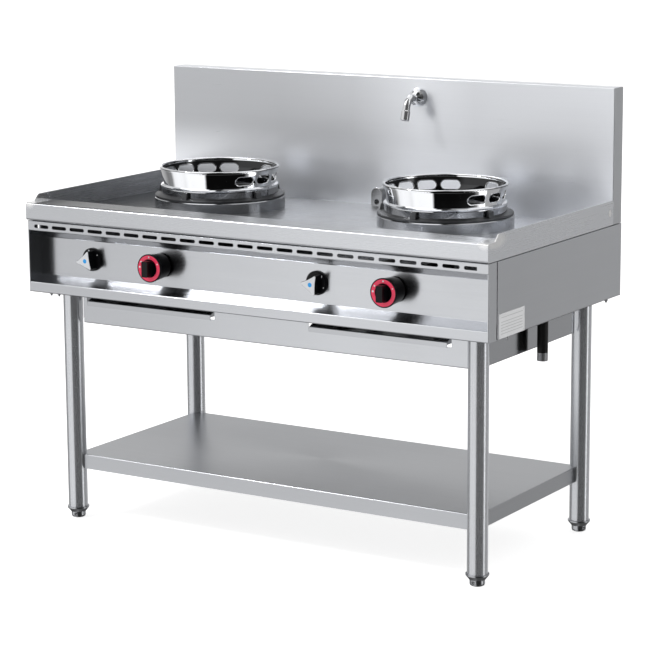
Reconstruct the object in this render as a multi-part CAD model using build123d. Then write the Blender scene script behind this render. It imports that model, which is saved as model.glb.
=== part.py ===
from build123d import *
from math import cos, radians, sin
import os

# Two-burner gas wok range on four legs. Millimetres, z up from the floor. Everything is drawn with x from the
# middle to the right and y back from the worktop's front edge, then moved so that the origin is under the
# middle of the outer box.

# ---- overall sizes
width = 1350
depth = 720
rim_height = 850
overall_height = 1150
half = width / 2

# ---- sheet metal
sheet = 1.5
bend = 1.5
corner_round = sheet - 0.1
top_sheet = 2
top_bend = 4
flange = 24
narrow_fold = 18

# ---- worktop and splashback
fascia_drop = 45.5
fascia_bottom = rim_height - fascia_drop
flat_depth = 85
step_run = 3
deck_start = flat_depth + step_run
deck_top = rim_height - 28
deck_fall = 0.0262
hem = 3
upstand_top = rim_height + 17
upstand_start = 36
upstand_run = 17
splash_depth = 52
splash_front = depth - splash_depth
splash_rim = 20
plug_y = splash_front - 17
plug_z = fascia_bottom + 31.5
plug_r = 10
plug_groove = 0.8

# ---- body under the worktop
seal_gap = 2
seal_width = 10
seal_inset = 11
body_half = half - 0.5
body_front = 6
body_top = fascia_bottom - seal_gap
body_height = 186.5
body_bottom = body_top - body_height
floor_under = body_bottom + sheet
floor_top = floor_under + sheet
cap_back = 45
side_front = cap_back + 5
recess_back = body_front + 52
recess_top = body_top - 25
recess_wall_top = recess_top - 23
recess_bottom = body_bottom + 26.5
recess_wall_bottom = recess_bottom + 12.5
air_slot_count = 9
air_slot_length = 90
air_slot_height = 8
air_slot_rows = (body_top - 62.5, body_top - 37.5)

# ---- vent slots in the strip over the knobs
vent_pitch = 57.4
vent_length = 46
vent_height = 9
vent_first = -half + 21.4
vent_last_end = half - 31.7
vent_count = int((vent_last_end - vent_first) / vent_pitch) + 1
vent_z = body_top - 13.5

# ---- legs, feet, aprons and shelf
leg_x = half - 73
leg_front = 94
leg_rear = depth - 72
leg_r = 25.5
leg_wall = 1.5
leg_bottom = 30
collar_r = 29
collar_bottom = leg_bottom - 14
spigot_length = 25
socket_plate = 3
socket_half = 27
foot_r = 19
foot_height = 16
stem_r = 6
stem_length = 34
apron_front = 91
apron_rear = depth - 69
apron_bottom = body_bottom - 86.5
apron_hem = 15
apron_flange = 25
apron_gaps = {"left": 11.5, "right": 2.5}
rear_apron_gap = 7
side_apron_gap = 18
shelf_front = 91
shelf_rear = depth - 74
shelf_top = 174
shelf_drop = 39
shelf_hem = 16
stiffener_half = 30
stiffener_flange = 25
stiffener_depth = 26

# ---- drip trays
tray_offset = -11.5
notch_margin = 273
notch_width = half - notch_margin
notch_bottom = body_bottom - 39
tray_floor = notch_bottom + 5
tray_lip_bottom = notch_bottom - 2
tray_lip_top = tray_lip_bottom + 13
tray_side_top = tray_floor + 22
tray_side_rise = 38
tray_rear_space = 130
tray_back = depth - tray_rear_space
tray_left_gap = 2
tray_right_gap = 12
runner_gap = 2
runner_ledge = 12
runner_hook = 18
runner_front = apron_front + 27
runner_rear = tray_back + 10
floor_opening_half = notch_width / 2 - 21
floor_opening_front = 260
floor_opening_rear = 175

# ---- burners
burner_x = half / 2 + 3.5
burner_y = (deck_start + splash_front) / 2 + 22
deck_hole_r = 160
base_r = 172.5
base_wall = 2
base_bore_r = base_r - 22.5
base_top = rim_height - 6.5
cast_r = base_r - 1.5
cast_bore_r = 138
cast_groove = (cast_r - 13, cast_r - 5)
shadow_gap = 2.5
cast_edge_top = base_top + 6.3
cast_top = base_top + 10
lug_count = 5
lug_width = 16
lug_reach = 12
lug_top = cast_top + 14.5
lug_round = 4
wok_skirt_r = 154
wok_seat_clearance = 1.5
wok_wall = 2.5
wok_bead = 1.5
wok_waist_r = wok_skirt_r - 6.5
wok_belly_r = wok_skirt_r - 3.5
wok_lip_r = wok_skirt_r + 1.6
wok_rim_r = wok_skirt_r + 4
wok_roll_r = 4
skirt_top = cast_top + 15
bead_top = skirt_top + 6
waist_z = bead_top + 3.5
belly_z = waist_z + 19
lip_z = belly_z + 20
wok_rim_top = lip_z + 7
wok_hole_count = 5
wok_hole_pitch = 24
wok_hole_length = 52
wok_hole_height = 25
wok_hole_z = belly_z - 0.5
head_r = 88
head_bottom = base_top - 53.5
head_ports = 20
port_width = 3.5
bridge_width = 60
bridge_half = floor_opening_half + 20
bridge_top = floor_top + 26
chamber_r = 24
funnel_r = 80
pilot_reach = 97
pilot_top = head_bottom + 32
pilot_length = 62
pilot_r = 5
probe_length = 76
probe_r = 2.2

# ---- knobs and valves
gas_knob_z = body_bottom + 94
water_knob_z = body_bottom + 90.5
gas_knob_offset = 53.5
water_knob_offset = -165
water_turns = {"left": 190, "right": 176}
riser_y = depth - 30
knob_reach = 18
knob_clearance = 4.5
knob_base = recess_back - knob_clearance
dial_outer_r = 33
dial_inner_r = 23.5
dial_front = 2
dial_depth = 1.2
grip_width = 18
grip_height = 40
spindle_r = 4
fit = 0.05
valve_front = recess_back + sheet
valve_back = 112
water_spindle_front = 34
water_valve_back = 105
gas_valve_r = 19
water_base = recess_back - 0.5
water_shoulder = water_base - 8
water_skirt_r = 30
water_grip_r = 32.5
water_grip_front = 24.5
water_cap_front = 23
water_cap_inset = 2
side_bow = 2

# ---- gas and water pipes
manifold_y = 95
manifold_z = gas_knob_z - 34.5
manifold_r = 13.5
manifold_wall = 2.5
inlet_x = half - 45
inlet_y = depth / 2 + 12
inlet_drop = 111.5
inlet_bottom = body_bottom - inlet_drop
inlet_top = body_bottom + 24
thread_length = 20.5
thread_r = 13.2
venturi_mouth = valve_back + 70
venturi_r = 20
venturi_length = 148
jet_r = 9
feed_r = 6
water_pipe_r = 7
water_bend = 16
spout_x = burner_x + water_knob_offset - 66
spout_z = overall_height - 50
spout_reach = 57
spout_lean = 15
spout_drop = 55
spout_r = 10
spout_wall = 1.5
spout_bend = 28
outlet_r = 11.8
outlet_length = 27
rosette_r = 25
rosette_depth = 24
nozzle_x = -2.5
nozzle_half = 17.5
nozzle_block_height = 31
nozzle_port_r = 7.4
nozzle_port_height = 10.5
nozzle_groove = 0.8
nozzle_depth = 26
nozzle_front = splash_front - nozzle_depth
nozzle_y = nozzle_front + nozzle_depth / 2

sides = {"left": -1, "right": 1}
bottom_up = (Align.CENTER, Align.CENTER, Align.MIN)


def sheet_profile(points, gauge=sheet, inside=bend):
    """Section of folded sheet: the points run along one face and the metal lies to the right of their way."""
    spots = [Vector(*point) for point in points]
    ways = [(after - before).normalized() for before, after in zip(spots, spots[1:])]
    rights = [Vector(way.Y, -way.X) for way in ways]
    far = [spots[0] + rights[0] * gauge]
    near_radii = []
    far_radii = []
    for spot, first, second, way, turn in zip(spots[1:-1], rights, rights[1:], ways, ways[1:]):
        far.append(spot + (first + second) * (gauge / (1 + first.dot(second))))
        turns_right = way.cross(turn).Z < 0
        near_radii.append(inside + gauge if turns_right else inside)
        far_radii.append(inside if turns_right else inside + gauge)
    far.append(spots[-1] + rights[-1] * gauge)
    near_line = FilletPolyline(*spots, radius=near_radii)
    far_line = FilletPolyline(*far, radius=far_radii)
    return make_face([near_line, far_line, Line(spots[0], far[0]), Line(spots[-1], far[-1])])


def outline(*points):
    return make_face(Polyline(*points, close=True))


def along_x(face, start, end):
    """A face drawn in (y, z), drawn out between two places on x."""
    placed = Plane(origin=(start, 0, 0), x_dir=(0, 1, 0), z_dir=(1, 0, 0)) * face
    return extrude(placed, end - start, dir=(1, 0, 0))


def along_y(face, start, end):
    """A face drawn in (x, z), drawn out between two places on y."""
    placed = Plane(origin=(0, start, 0), x_dir=(1, 0, 0), z_dir=(0, -1, 0)) * face
    return extrude(placed, end - start, dir=(0, 1, 0))


def slab(x_range, y_range, z_range):
    """Box between two places on each axis, given in either order."""
    spans = [sorted(pair) for pair in (x_range, y_range, z_range)]
    middle = [(low + high) / 2 for low, high in spans]
    return Pos(*middle) * Box(*[high - low for low, high in spans])


def post(radius, x, y, z_from, z_to):
    return Pos(x, y, z_from) * Cylinder(radius, z_to - z_from, align=bottom_up)


def rod(radius, x, z, y_from, y_to):
    return along_y(Pos(x, z) * Circle(radius), y_from, y_to)


def turned_up(points, x, y):
    """Solid turned about an upright axis; the points are (radius, z)."""
    return Pos(x, y, 0) * revolve(Plane.XZ * outline(*points), Axis.Z)


def turned_back(points, x, z):
    """Solid turned about an axis along y; the points are (radius, y)."""
    return Pos(x, 0, z) * revolve(outline(*points), Axis.Y)


def pipe(points, radius, wall, bend_radius):
    route = FilletPolyline(*points, radius=bend_radius)
    ring = Circle(radius) - Circle(radius - wall)
    return sweep(Plane(origin=route @ 0, z_dir=route % 0) * ring, path=route)


def deck_at(y):
    """Height of the sloping deck's top face."""
    return deck_top - deck_fall * (y - deck_start)


def below_deck():
    """Everything under the deck's top face."""
    return along_x(outline((0, deck_at(0)), (depth, deck_at(depth)), (depth, 0), (0, 0)), -half, half)


def save(name, *shapes):
    """Writes one node, moved from the worktop's front edge to the middle of the footprint."""
    to_middle = Pos(0, -(depth - knob_reach) / 2, 0)
    moved = [to_middle * solid for shape in shapes for solid in shape.solids()]
    export_step(moved[0] if len(moved) == 1 else Compound(moved), f"parts/{name}.step")


# ---- worktop and splashback


def worktop():
    """Rolled front edge, flat margin, step and sloping deck, with hemmed upstands that run down as skirts."""
    run = [
        (flange, fascia_bottom),
        (0, fascia_bottom),
        (0, rim_height),
        (flat_depth, rim_height),
        (deck_start, deck_top),
        (splash_front, deck_at(splash_front)),
    ]
    inner = half - hem
    top = along_x(sheet_profile(run, top_sheet, top_bend), -inner, inner)
    skirt_line = outline(
        (0, fascia_bottom),
        (0, rim_height),
        (upstand_start, rim_height),
        (upstand_start + upstand_run, upstand_top),
        (splash_front, upstand_top),
        (splash_front, fascia_bottom),
    )
    front_corners = skirt_line.vertices().group_by(Axis.X)[0]
    skirt_line = fillet(front_corners, top_sheet + top_bend)
    skirt = along_x(skirt_line, inner, half)
    hem_edges = skirt.edges().filter_by(Axis.Y).group_by(Axis.Z)[-1]
    skirt = fillet(hem_edges, hem / 2 - 0.1)
    lip = slab((inner - flange, inner), (flange, splash_front), (fascia_bottom, fascia_bottom + top_sheet))
    top += skirt + lip + mirror(skirt + lip, about=Plane.YZ)
    for sign in sides.values():
        top -= post(deck_hole_r, sign * burner_x, burner_y, deck_top - flange, rim_height)
    groove = Circle(plug_r) - Circle(plug_r - plug_groove)
    groove = Plane(origin=(half, plug_y, plug_z), z_dir=(1, 0, 0)) * groove
    top -= extrude(groove, amount=-plug_groove)
    return top - post(water_pipe_r, nozzle_x, nozzle_y, fascia_bottom - flange, rim_height)


def splashback():
    """Folded hood, closed in front, on top and at the sides, with flanges that take the rear cover."""
    rear = depth - sheet
    hood = slab((-half, half), (splash_front, rear), (fascia_bottom, overall_height))
    upright = hood.edges().filter_by(Axis.Z)
    top_edges = hood.edges().group_by(Axis.Z)[-1]
    hood = fillet(upright + top_edges, sheet + bend)
    hollow_half = half - sheet
    hollow_y = (splash_front + sheet, rear - sheet)
    hollow = slab((-hollow_half, hollow_half), hollow_y, (0, overall_height - sheet))
    rim_half = half - splash_rim
    rim_levels = (fascia_bottom + splash_rim, overall_height - splash_rim)
    back_opening = slab((-rim_half, rim_half), (rear - 2 * sheet, depth), rim_levels)
    pipe_hole = rod(water_pipe_r + bend, spout_x, spout_z, splash_front - sheet, splash_front + 2 * sheet)
    return hood - hollow - back_opening - pipe_hole


def splashback_cover():
    """Flat cover over the open back of the splashback."""
    cover_half = half - 2 * sheet
    levels = (fascia_bottom + sheet, overall_height - 2 * sheet)
    cover = slab((-cover_half, cover_half), (depth - sheet, depth), levels)
    return fillet(cover.edges().filter_by(Axis.Y), 2 * bend)


# ---- body


def control_panel():
    """Full-width folded front: slotted strip, closed recess for the knobs with a sloping sill, lower lip."""
    recess = [
        (body_front, recess_top),
        (recess_back, recess_wall_top),
        (recess_back, recess_wall_bottom),
        (body_front, recess_bottom),
    ]
    run = [
        (cap_back, body_bottom),
        (body_front, body_bottom),
        *reversed(recess),
        (body_front, body_top),
        (cap_back, body_top),
    ]
    inner_half = body_half - sheet
    panel = along_x(sheet_profile(run), -inner_half, inner_half)
    cap = slab((inner_half, body_half), (body_front, cap_back), (body_bottom, body_top))
    front_edge = cap.edges().filter_by(Axis.Z).group_by(Axis.Y)[0].sort_by(Axis.X)[-1]
    recess_end = along_x(outline(*recess), inner_half - sheet, inner_half)
    cap = fillet(front_edge, corner_round) + recess_end
    panel += cap + mirror(cap, about=Plane.YZ)
    slots = []
    for number in range(vent_count):
        start = vent_first + number * vent_pitch
        slot = Pos(start + vent_length / 2, vent_z) * SlotOverall(vent_length, vent_height)
        if start + vent_length > vent_last_end:
            slot -= Pos(vent_last_end + vent_length / 2, vent_z) * Rectangle(vent_length, vent_length)
        slots.append(along_y(slot, body_front - sheet, body_front + 2 * sheet))
    panel -= slots
    for sign in sides.values():
        for offset, z in ((gas_knob_offset, gas_knob_z), (water_knob_offset, water_knob_z)):
            panel -= rod(spindle_r + 1, sign * burner_x + offset, z, cap_back, recess_back + 2 * sheet)
    return panel


def side_panel():
    """Right side: one sheet folded in at the top, bottom, front and rear."""
    run = [
        (body_half - flange, body_top),
        (body_half, body_top),
        (body_half, body_bottom),
        (body_half - flange, body_bottom),
    ]
    rear = depth - sheet
    panel = along_y(sheet_profile(run), side_front, rear)
    fold_bottom = floor_top + 0.5
    fold_top = body_top - sheet
    fold = (body_half - narrow_fold, body_half - sheet)
    front_fold = (side_front, side_front + sheet)
    panel += slab(fold, front_fold, (fold_bottom, recess_bottom))
    panel += slab(fold, front_fold, (recess_top - 10, fold_top))
    panel += slab(fold, (rear - sheet, rear), (fold_bottom, fold_top))
    front_edge = panel.edges().filter_by(Axis.Z).group_by(Axis.Y)[0].group_by(Axis.X)[-1]
    return fillet(front_edge, corner_round)


def back_panel():
    """Rear sheet with folds at top and bottom between the side panels, and two rows of air slots."""
    run = [
        (depth - narrow_fold, body_top),
        (depth, body_top),
        (depth, body_bottom),
        (depth - narrow_fold, body_bottom),
    ]
    fold_half = body_half - flange - 1
    panel = along_x(sheet_profile(run), -fold_half, fold_half)
    for sign in sides.values():
        ends = (sign * fold_half, sign * body_half)
        panel += slab(ends, (depth - sheet, depth), (body_bottom, body_top))
    pitch = (2 * fold_half - air_slot_length) / air_slot_count
    slots = []
    for column in range(air_slot_count):
        x = (column - (air_slot_count - 1) / 2) * pitch
        for z in air_slot_rows:
            slot = Pos(x, z) * SlotOverall(air_slot_length, air_slot_height)
            slots.append(along_y(slot, depth - 2 * sheet, depth + sheet))
    return panel - slots


def base_plate():
    """Floor of the body, of strips round the two openings over the drip trays, with a hole for the gas inlet."""
    plate_half = body_half - 4
    front = (body_front + 4, burner_y - floor_opening_front)
    middle = (burner_y - floor_opening_front, burner_y + floor_opening_rear)
    rear = (burner_y + floor_opening_rear, depth - 5)
    gauge = (floor_under, floor_top)
    edges = [-plate_half, plate_half]
    for sign in sides.values():
        centre = sign * burner_x + tray_offset
        edges += [centre - floor_opening_half, centre + floor_opening_half]
    edges.sort()
    strips = [slab(pair, middle, gauge) for pair in zip(edges[::2], edges[1::2])]
    strips[-1] -= post(manifold_r + 8.5, inlet_x, inlet_y, body_bottom, floor_top + sheet)
    return [slab((-plate_half, plate_half), span, gauge) for span in (front, rear)] + strips


def sealing_strip():
    """Strip in the dark joint between the worktop and the body."""
    outer_half = half - seal_inset
    inner_half = outer_half - seal_width
    outer_y = (body_front + 8, depth - 3)
    inner_y = (body_front + 8 + seal_width, depth - 3 - seal_width)
    ring = slab((-outer_half, outer_half), outer_y, (body_top, fascia_bottom))
    return ring - slab((-inner_half, inner_half), inner_y, (body_top - 1, fascia_bottom + 1))


# ---- stand


def front_rail():
    """Front apron with a notch for each drip tray."""
    run = [
        (apron_front + apron_hem, apron_bottom),
        (apron_front, apron_bottom),
        (apron_front, floor_under),
        (apron_front + apron_flange, floor_under),
    ]
    reach = leg_x - leg_r
    rail = along_x(sheet_profile(run), -reach + apron_gaps["left"], reach - apron_gaps["right"])
    for sign in sides.values():
        centre = sign * burner_x + tray_offset
        across = (centre - notch_width / 2, centre + notch_width / 2)
        rail -= slab(across, (apron_front - 5, apron_front + apron_flange + 5), (notch_bottom, floor_top))
    return rail


def apron_rails():
    """Rear apron and the two side aprons."""
    end = leg_x - leg_r - rear_apron_gap
    rear_run = [
        (apron_rear - apron_flange, floor_under),
        (apron_rear, floor_under),
        (apron_rear, apron_bottom),
        (apron_rear - apron_hem, apron_bottom),
    ]
    rear = along_x(sheet_profile(rear_run), -end, end)
    side_run = [
        (leg_x - apron_flange, floor_under),
        (leg_x, floor_under),
        (leg_x, apron_bottom),
        (leg_x - apron_hem, apron_bottom),
    ]
    start = leg_front + leg_r + side_apron_gap
    right = along_y(sheet_profile(side_run), start, leg_rear - leg_r - side_apron_gap)
    return rear, right, mirror(right, about=Plane.YZ)


def leg(x, y):
    """Round tube from the collar up to the socket under the body."""
    tube_top = floor_under - socket_plate
    tube = post(leg_r, x, y, leg_bottom, tube_top)
    return tube - post(leg_r - leg_wall, x, y, leg_bottom - 1, tube_top + 1)


def leg_collar(x, y):
    """Turned insert at the bottom of a leg: flange, cone and the thread for the foot."""
    spigot_r = leg_r - leg_wall - fit
    bore_r = stem_r + fit
    profile = [
        (bore_r, collar_bottom),
        (foot_r + 1.5, collar_bottom),
        (leg_r - 1.5, collar_bottom + 4.5),
        (collar_r, leg_bottom - 3.5),
        (collar_r, leg_bottom),
        (spigot_r, leg_bottom),
        (spigot_r, leg_bottom + spigot_length),
        (bore_r, leg_bottom + spigot_length),
    ]
    return turned_up(profile, x, y)


def leg_socket(x, y):
    """Plate screwed under the body with the spigot that the leg is pushed over."""
    plate_bottom = floor_under - socket_plate
    across = (x - socket_half, x + socket_half)
    plate = slab(across, (y - socket_half, y + socket_half), (plate_bottom, floor_under))
    spigot_r = leg_r - leg_wall - fit
    spigot_bottom = plate_bottom - spigot_length
    spigot = post(spigot_r, x, y, spigot_bottom, plate_bottom)
    spigot -= post(spigot_r - 4, x, y, spigot_bottom - 1, plate_bottom)
    return fillet(plate.edges().filter_by(Axis.Z), 5) + spigot


def foot(x, y):
    """Screw foot: rounded pad with a threaded stem."""
    profile = [
        (0, 0),
        (foot_r - 5, 0),
        (foot_r - 1.5, 2),
        (foot_r, 6),
        (foot_r, foot_height),
        (stem_r, foot_height),
        (stem_r, foot_height + stem_length),
        (0, foot_height + stem_length),
    ]
    return turned_up(profile, x, y)


def undershelf():
    """Tray-shaped shelf with turned-down edges, cut round the legs, and a welded stiffener under it."""
    shelf_bottom = shelf_top - shelf_drop
    shelf = slab((-leg_x, leg_x), (shelf_front, shelf_rear), (shelf_bottom, shelf_top))
    shelf = fillet(shelf.edges().group_by(Axis.Z)[-1], sheet + bend)
    inner_x = leg_x - sheet
    inner_y = (shelf_front + sheet, shelf_rear - sheet)
    shelf -= slab((-inner_x, inner_x), inner_y, (shelf_bottom + sheet, shelf_top - sheet))
    open_x = leg_x - shelf_hem
    open_y = (shelf_front + shelf_hem, shelf_rear - shelf_hem)
    shelf -= slab((-open_x, open_x), open_y, (0, shelf_bottom + 2 * sheet))
    for x in (-leg_x, leg_x):
        for y in (leg_front, leg_rear):
            shelf -= post(leg_r + fit, x, y, 0, shelf_top + 5)
    middle = (shelf_front + shelf_rear) / 2
    under = shelf_top - sheet
    hat = [
        (middle - stiffener_half - stiffener_flange, under),
        (middle - stiffener_half, under),
        (middle - stiffener_half, under - stiffener_depth),
        (middle + stiffener_half, under - stiffener_depth),
        (middle + stiffener_half, under),
        (middle + stiffener_half + stiffener_flange, under),
    ]
    return shelf, along_x(sheet_profile(hat), -open_x, open_x)


def tray_limits(sign):
    """Left and right outside faces of a drip tray."""
    centre = sign * burner_x + tray_offset
    return centre - notch_width / 2 + tray_left_gap, centre + notch_width / 2 - tray_right_gap


def tray_runners():
    """Z-shaped runners under the body floor, two to a drip tray."""
    runners = []
    for sign in sides.values():
        left, right = tray_limits(sign)
        for wall, outward in ((left, -1), (right, 1)):
            web = wall + outward * runner_gap
            run = [
                (web - outward * runner_ledge, tray_floor),
                (web, tray_floor),
                (web, floor_under),
                (web + outward * runner_hook, floor_under),
            ]
            if outward < 0:
                run.reverse()
            runners.append(along_y(sheet_profile(run), runner_front, runner_rear))
    return runners


def drip_tray(sign):
    """Shallow tray with a low front wall and a turned-down lip to pull it by."""
    left, right = tray_limits(sign)
    front = apron_front + sheet
    side_line = outline(
        (front, tray_floor),
        (tray_back, tray_floor),
        (tray_back, tray_side_top),
        (front + tray_side_rise, tray_side_top),
        (front, tray_lip_top),
    )
    inside_line = outline(
        (front + sheet, tray_floor + sheet),
        (tray_back - sheet, tray_floor + sheet),
        (tray_back - sheet, tray_side_top + 5),
        (front + sheet, tray_side_top + 5),
    )
    tray = along_x(side_line, left, right) - along_x(inside_line, left + sheet, right - sheet)
    lip_front = apron_front - sheet
    lip = slab((left, right), (lip_front, front), (tray_lip_top - sheet, tray_lip_top))
    lip += slab((left, right), (lip_front, apron_front), (tray_lip_bottom, tray_lip_top))
    top_edge = lip.edges().filter_by(Axis.X).group_by(Axis.Y)[0].sort_by(Axis.Z)[-1]
    return tray + fillet(top_edge, corner_round)


# ---- burners


def burner_base(x):
    """Ring that stands on the sloping deck and levels the casting on it."""
    inner_r = base_r - base_wall
    bottom = deck_at(burner_y + base_r) - 5
    profile = [
        (inner_r, bottom),
        (base_r, bottom),
        (base_r, base_top - base_wall),
        (inner_r, base_top),
        (base_bore_r, base_top),
        (base_bore_r, base_top - base_wall),
        (inner_r, base_top - base_wall),
    ]
    return turned_up(profile, x, burner_y) - below_deck()


def support_ring(x):
    """Cast ring with a raised seat and five lugs that keep the wok ring in the middle."""
    foot_top = base_top + shadow_gap
    foot_inner, foot_outer = cast_groove
    seat_r = wok_skirt_r + wok_seat_clearance
    profile = [
        (cast_bore_r, foot_top),
        (foot_inner, foot_top),
        (foot_inner, base_top),
        (foot_outer, base_top),
        (foot_outer, foot_top),
        (cast_r, foot_top),
        (cast_r, cast_edge_top - 1),
        (cast_r - 1, cast_edge_top),
        (seat_r, cast_top),
        (cast_bore_r, cast_top),
    ]
    ring = turned_up(profile, x, burner_y)
    lug_r = seat_r + 0.5
    lug_foot = cast_edge_top - 2
    lug_line = outline(
        (lug_r, lug_foot),
        (lug_r + lug_reach - 1, lug_foot),
        (lug_r + lug_reach - 4, lug_top - 2.5),
        (lug_r + lug_reach - 7, lug_top),
        (lug_r, lug_top),
    )
    lug = along_y(lug_line, -lug_width / 2, lug_width / 2)
    tall_edges = lug.edges().group_by(Axis.Z)[-1].filter_by(Axis.X)
    lug = fillet(tall_edges, lug_round)
    for number in range(lug_count):
        ring += Pos(x, burner_y, 0) * Rot(0, 0, -90 + number * 360 / lug_count) * lug
    return ring


def wok_ring(x):
    """Plated ring for a round-bottomed wok: skirt, bead, wall with holes at both sides and rolled rim."""
    inner_skirt = wok_skirt_r - wok_wall
    profile = [
        (inner_skirt, cast_top),
        (wok_skirt_r, cast_top),
        (wok_skirt_r, skirt_top),
        (wok_skirt_r + wok_bead, skirt_top + 2),
        (wok_skirt_r + wok_bead, bead_top),
        (wok_skirt_r, bead_top + 1.5),
        (wok_waist_r, waist_z),
        (wok_belly_r, belly_z),
        (wok_lip_r, lip_z),
        (wok_lip_r - wok_wall, lip_z + 0.5),
        (wok_belly_r - wok_wall, belly_z + 0.5),
        (wok_waist_r - wok_wall, waist_z - 1),
        (inner_skirt, bead_top),
    ]
    wall = turned_up(profile, x, burner_y)
    ring = wall + Pos(x, burner_y, wok_rim_top - wok_roll_r) * Torus(wok_rim_r - wok_roll_r, wok_roll_r)
    hole_face = Plane.XZ.offset(-wok_rim_r) * SlotOverall(wok_hole_length, wok_hole_height)
    hole = extrude(hole_face, wok_rim_r - base_bore_r + 20)
    for sign in sides.values():
        for number in range(1, wok_hole_count + 1):
            turn = sign * number * wok_hole_pitch
            ring -= Pos(x, burner_y, wok_hole_z) * Rot(0, 0, turn) * hole
    return ring


def burner_head(x):
    """Cast burner head with a ring of flame slots under a domed cap."""
    slot_middle = head_bottom + 21
    profile = [
        (0, head_bottom),
        (head_r, head_bottom),
        (head_r, head_bottom + 12),
        (head_r - 6, slot_middle - 5),
        (head_r - 6, slot_middle + 5),
        (head_r - 28, slot_middle + 15),
        (0, slot_middle + 17),
    ]
    head = turned_up(profile, x, burner_y)
    slot_y = (-port_width / 2, port_width / 2)
    slot = slab((head_r - 26, head_r + 7), slot_y, (slot_middle - 3, slot_middle + 3))
    for number in range(head_ports):
        head -= Pos(x, burner_y, 0) * Rot(0, 0, number * 360 / head_ports) * slot
    return head


def burner_body(x):
    """Mixing chamber under the head, its foot on the bridge and the venturi that faces the gas jet."""
    foot_r_wide = chamber_r + 6
    chamber_profile = [
        (0, bridge_top),
        (foot_r_wide, bridge_top),
        (foot_r_wide, bridge_top + 8),
        (chamber_r, bridge_top + 25),
        (chamber_r, gas_knob_z + 26),
        (funnel_r, head_bottom - 6),
        (funnel_r, head_bottom),
        (0, head_bottom),
    ]
    throat = venturi_mouth + 18
    venturi_end = venturi_mouth + venturi_length
    venturi_profile = [
        (0, burner_y),
        (venturi_r, burner_y),
        (venturi_r, venturi_end),
        (venturi_r - 4, venturi_mouth + 78),
        (venturi_r, throat),
        (venturi_r + 9, venturi_mouth),
        (venturi_r + 6, venturi_mouth),
        (venturi_r - 6, throat),
        (venturi_r - 6, venturi_end),
        (0, venturi_end),
    ]
    return turned_up(chamber_profile, x, burner_y) + turned_back(venturi_profile, x, gas_knob_z)


def pilot_burner(x):
    """Pilot with its thermocouple on a bracket from the mixing chamber's rim."""
    pilot_x = x + pilot_reach
    bracket_x = (x + funnel_r - 8, pilot_x + 8)
    bracket = slab(bracket_x, (burner_y - 10, burner_y + 10), (head_bottom - 8, head_bottom - 6))
    bracket -= post(funnel_r + fit, x, burner_y, head_bottom - 10, head_bottom)
    stem = post(pilot_r, pilot_x, burner_y - 4, pilot_top - pilot_length, pilot_top)
    stem += post(pilot_r + 1.5, pilot_x, burner_y - 4, pilot_top - 10, pilot_top - 4)
    probe = post(probe_r, pilot_x, burner_y + 6, pilot_top + 4 - probe_length, pilot_top + 4)
    return bracket + stem + probe


def burner_bridges():
    """Channels over the openings of the body floor that carry the burners."""
    front = burner_y - bridge_width / 2
    rear = burner_y + bridge_width / 2
    section = sheet_profile([(front, floor_top), (front, bridge_top), (rear, bridge_top), (rear, floor_top)])
    centres = [sign * burner_x + tray_offset for sign in sides.values()]
    return [along_x(section, centre - bridge_half, centre + bridge_half) for centre in centres]


# ---- knobs, valves and pipes


def gas_valve(x):
    """Valve behind the control panel: flange, round body, inlet from the manifold and bore for the spindle."""
    plate_half = gas_valve_r + 3
    plate_back = valve_front + 5
    levels = (gas_knob_z - plate_half, gas_knob_z + plate_half)
    body = slab((x - plate_half, x + plate_half), (valve_front, plate_back), levels)
    body = fillet(body.edges().filter_by(Axis.Y), 8)
    body += rod(gas_valve_r, x, gas_knob_z, plate_back, valve_back)
    body += post(9, x, manifold_y, manifold_z, gas_knob_z)
    body -= rod(spindle_r + fit, x, gas_knob_z, valve_front - 1, valve_back - 12)
    saddle = Pos(manifold_y, manifold_z) * Circle(manifold_r + fit)
    return body - along_x(saddle, x - 2 * gas_valve_r, x + 2 * gas_valve_r)


def gas_spindle(x):
    """Valve spindle with the flat that the knob keys on."""
    spindle = rod(spindle_r, x, gas_knob_z, 20, valve_back - 14)
    flat = slab((x - 5, x + 5), (18, 45), (gas_knob_z + spindle_r - 1.2, gas_knob_z + 5))
    return spindle - flat


def gas_knob(x):
    """Long round knob with a seat for the dial ring, a scooped face and a grip across it."""
    seat = dial_front + dial_depth
    profile = [
        (0, knob_base),
        (dial_outer_r - 3, knob_base),
        (dial_outer_r - 1.5, knob_base - 2),
        (dial_outer_r + 2, dial_front + 6),
        (dial_outer_r + 3, dial_front + 4),
        (dial_outer_r + 3, dial_front + 0.5),
        (dial_outer_r + 2.5, dial_front),
        (dial_outer_r, dial_front),
        (dial_outer_r, seat),
        (dial_inner_r, seat),
        (dial_inner_r - 1, seat + 1),
        (dial_inner_r - 5, seat + 8),
        (0, seat + 9),
    ]
    body = turned_back(profile, x, gas_knob_z)
    face = Pos(x, gas_knob_z) * RectangleRounded(grip_width, grip_height, 3)
    front_plane = Plane(origin=(0, -knob_reach, 0), x_dir=(1, 0, 0), z_dir=(0, -1, 0))
    grip = extrude(front_plane * face, -(knob_reach + 14), taper=-2.5)
    bore = rod(spindle_r + fit, x, gas_knob_z, 15, knob_base + 1)
    return body + grip - bore


def gas_dial(x):
    """Printed ring set into the knob's front."""
    back = dial_front + dial_depth
    front_edge = [(dial_inner_r, dial_front), (dial_outer_r, dial_front)]
    return turned_back([*front_edge, (dial_outer_r, back), (dial_inner_r, back)], x, gas_knob_z)


def triangle(radius, corner):
    """Three-sided face with hollow sides and rounded corners."""
    tips = [Vector(radius * cos(radians(angle)), radius * sin(radians(angle))) for angle in (0, 120, 240)]
    edges = []
    for first, second in zip(tips, tips[1:] + tips[:1]):
        middle = (first + second) * 0.5
        edges.append(ThreePointArc(first, middle - middle.normalized() * side_bow, second))
    return fillet(make_face(edges).vertices(), corner)


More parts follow.
